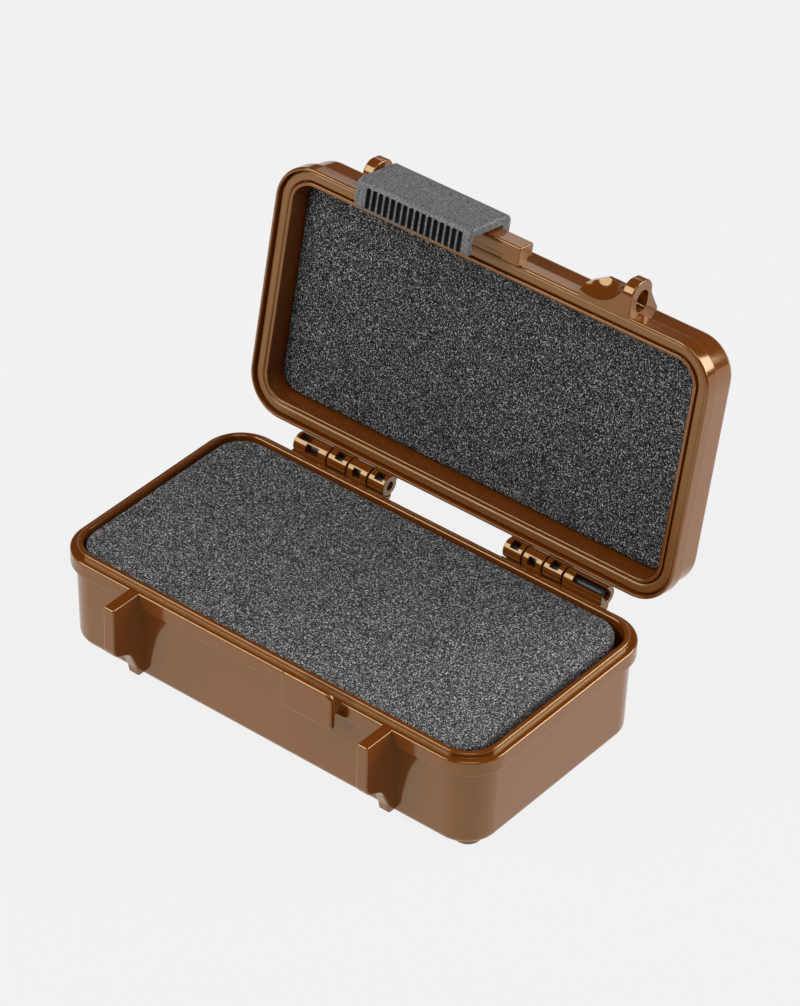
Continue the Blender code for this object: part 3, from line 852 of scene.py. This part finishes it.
def foam_material(name, dark, mid, bright):
    """Open-cell foam: dark cells, lighter struts and a few bright specks, painted glints where
    struts catch the light.
    """
    material, tree, shader = node_tree(name)
    cells = add_noise(tree, CELL_SCALE, 2.0, 0.7)
    stops = [(0.38, dark), (0.55, mid), (0.68, bright)]
    tree.links.new(add_ramp(tree, cells, stops), shader.inputs["Base Color"])
    shader.inputs["Roughness"].default_value = FOAM_SHADE_ROUGHNESS
    shader.inputs["Specular IOR Level"].default_value = 0.2
    add_bump(tree, shader, cells, 0.8, 0.0005)
    return material


# Colours are (dark, light) for the plastics and (dark, mid, bright) for the foams.
BROWN_COLOURS = ((0.160, 0.037, 0.001), (0.174, 0.040, 0.001))
RUBBER_COLOURS = ((0.190, 0.062, 0.010), (0.210, 0.070, 0.014))
LATCH_COLOURS = ((0.060, 0.060, 0.061), (0.225, 0.225, 0.227))
# Painted shade: the groove colours are near-black to stand in for the shade inside the latch's
# grooves.
GROOVE_SHADE_COLOURS = ((0.006, 0.006, 0.006), (0.012, 0.012, 0.012))
PIN_COLOURS = ((0.012, 0.012, 0.013), (0.024, 0.024, 0.026))
# Painted light and shade: the base foam is painted lighter for the light from above and the lid foam
# darker for its shade; the bright stops are painted glints.
BASE_FOAM_LIT_COLOURS = ((0.012, 0.012, 0.012), (0.095, 0.095, 0.095), (0.85, 0.85, 0.85))
LID_FOAM_SHADED_COLOURS = ((0.003, 0.003, 0.003), (0.035, 0.035, 0.035), (0.75, 0.75, 0.75))
BROWN_ROUGHNESS = (0.10, 0.15)
RUBBER_ROUGHNESS = (0.30, 0.40)
LATCH_ROUGHNESS = 0.5
GROOVE_ROUGHNESS = 0.6
PIN_ROUGHNESS = 0.4
FOAM_SHADE_ROUGHNESS = 0.9
PLASTIC_IOR = 2.0
WARM_TINT = (1.0, 0.73, 0.38, 1.0)
COAT_WEIGHT = 0.15
COAT_ROUGHNESS = 0.05

# Noise scales, in cells per metre.
MOTTLE_SCALE = 60.0
SHEEN_SCALE = 350.0
GRAIN_SCALE = 1500.0
CELL_SCALE = 2300.0

# Lights: name, position, size and power in watts.  They all face the origin.
LIGHTS = (
    ("front_light", (-0.69, -0.84, 0.88), 1.0, 12.0),
    ("back_light", (0.84, 0.88, 0.69), 1.0, 16.0),
    ("top_light", (0.35, -0.35, 1.4), 0.8, 5.0),
    ("rim_card", (-0.69, 1.13, 0.56), 0.25, 0.16),
)
FLOOR_HALF = 4.0
FLOOR_GLOW = 0.855
WORLD_GLOW = 0.06

# The camera stands where the view shows the right end, the front and the lid's inside.
CAMERA_AZIMUTH = math.radians(38.18)
CAMERA_ELEVATION = math.radians(37.00)
CAMERA_ROLL = math.radians(1.55)
CAMERA_DISTANCE = 1.5090
CAMERA_TARGET = Vector((-0.0152, 0.0423, 0.0))
CAMERA_LENS = 173.55
CAMERA_SENSOR = 36.0


def build_camera():
    level = math.cos(CAMERA_ELEVATION)
    across, forward = math.sin(CAMERA_AZIMUTH), -math.cos(CAMERA_AZIMUTH)
    back = Vector((across * level, forward * level, math.sin(CAMERA_ELEVATION)))
    right = (-back).cross(Vector((0.0, 0.0, 1.0))).normalized()
    up = right.cross(-back)
    turn = Matrix.Rotation(CAMERA_ROLL, 3, back)
    data = bpy.data.cameras.new("camera")
    data.lens = CAMERA_LENS
    data.sensor_fit = "VERTICAL"
    data.sensor_height = CAMERA_SENSOR
    camera = bpy.data.objects.new("camera", data)
    axes = [turn @ right, turn @ up, back]
    turned = Matrix([[axis[row] for axis in axes] for row in range(3)]).to_4x4()
    place = TO_CASE @ CAMERA_TARGET + back * CAMERA_DISTANCE
    camera.matrix_world = Matrix.Translation(place) @ turned
    bpy.context.scene.collection.objects.link(camera)
    bpy.context.scene.camera = camera


def build_floor():
    bm = bmesh.new()
    bmesh.ops.create_grid(bm, x_segments=1, y_segments=1, size=FLOOR_HALF)
    floor = object_from(bm, "floor")
    material, _, shader = node_tree("floor_paper")
    shader.inputs["Base Color"].default_value = (0.03, 0.03, 0.03, 1.0)
    shader.inputs["Roughness"].default_value = 1.0
    shader.inputs["Specular IOR Level"].default_value = 0.0
    shader.inputs["Emission Color"].default_value = (1.0, 1.0, 1.0, 1.0)
    shader.inputs["Emission Strength"].default_value = FLOOR_GLOW
    floor.data.materials.append(material)


def build_light(name, position, size, power):
    data = bpy.data.lights.new(name, "AREA")
    data.shape = "DISK"
    data.size = size
    data.energy = power
    light = bpy.data.objects.new(name, data)
    light.location = position
    light.rotation_euler = (-Vector(position)).to_track_quat("-Z", "Y").to_euler()
    bpy.context.scene.collection.objects.link(light)


def build_stage():
    build_floor()
    for name, position, size, power in LIGHTS:
        build_light(name, position, size, power)
    world = bpy.data.worlds.new("studio")
    world.use_nodes = True
    background = world.node_tree.nodes["Background"]
    background.inputs["Color"].default_value = (1.0, 1.0, 1.0, 1.0)
    background.inputs["Strength"].default_value = WORLD_GLOW
    bpy.context.scene.world = world
    bpy.context.scene.view_settings.view_transform = "Standard"


def main():
    build_camera()
    build_stage()
    brown = glossy_plastic("brown_gloss", *BROWN_COLOURS, BROWN_ROUGHNESS)
    rubber = glossy_plastic("brown_rubber", *RUBBER_COLOURS, RUBBER_ROUGHNESS)
    grey = matte_plastic("latch_grain", *LATCH_COLOURS, LATCH_ROUGHNESS)
    # The groove material paints shade into the latch's grooves.
    groove = matte_plastic("groove_painted_shade", *GROOVE_SHADE_COLOURS, GROOVE_ROUGHNESS)
    black = matte_plastic("pin_grain", *PIN_COLOURS, PIN_ROUGHNESS)
    # One foam, painted lighter in the base and darker in the lid as painted light and shade.
    base_cells_lit = foam_material("base_cells_lit", *BASE_FOAM_LIT_COLOURS)
    lid_cells_shaded = foam_material("lid_cells_shaded", *LID_FOAM_SHADED_COLOURS)
    build_base(brown)
    build_lid(brown)
    build_seal(rubber)
    build_latch(grey, groove)
    for side in (-1, 1):
        build_pin(side, black)
    build_base_foam(base_cells_lit)
    build_lid_foam(lid_cells_shaded)


main()
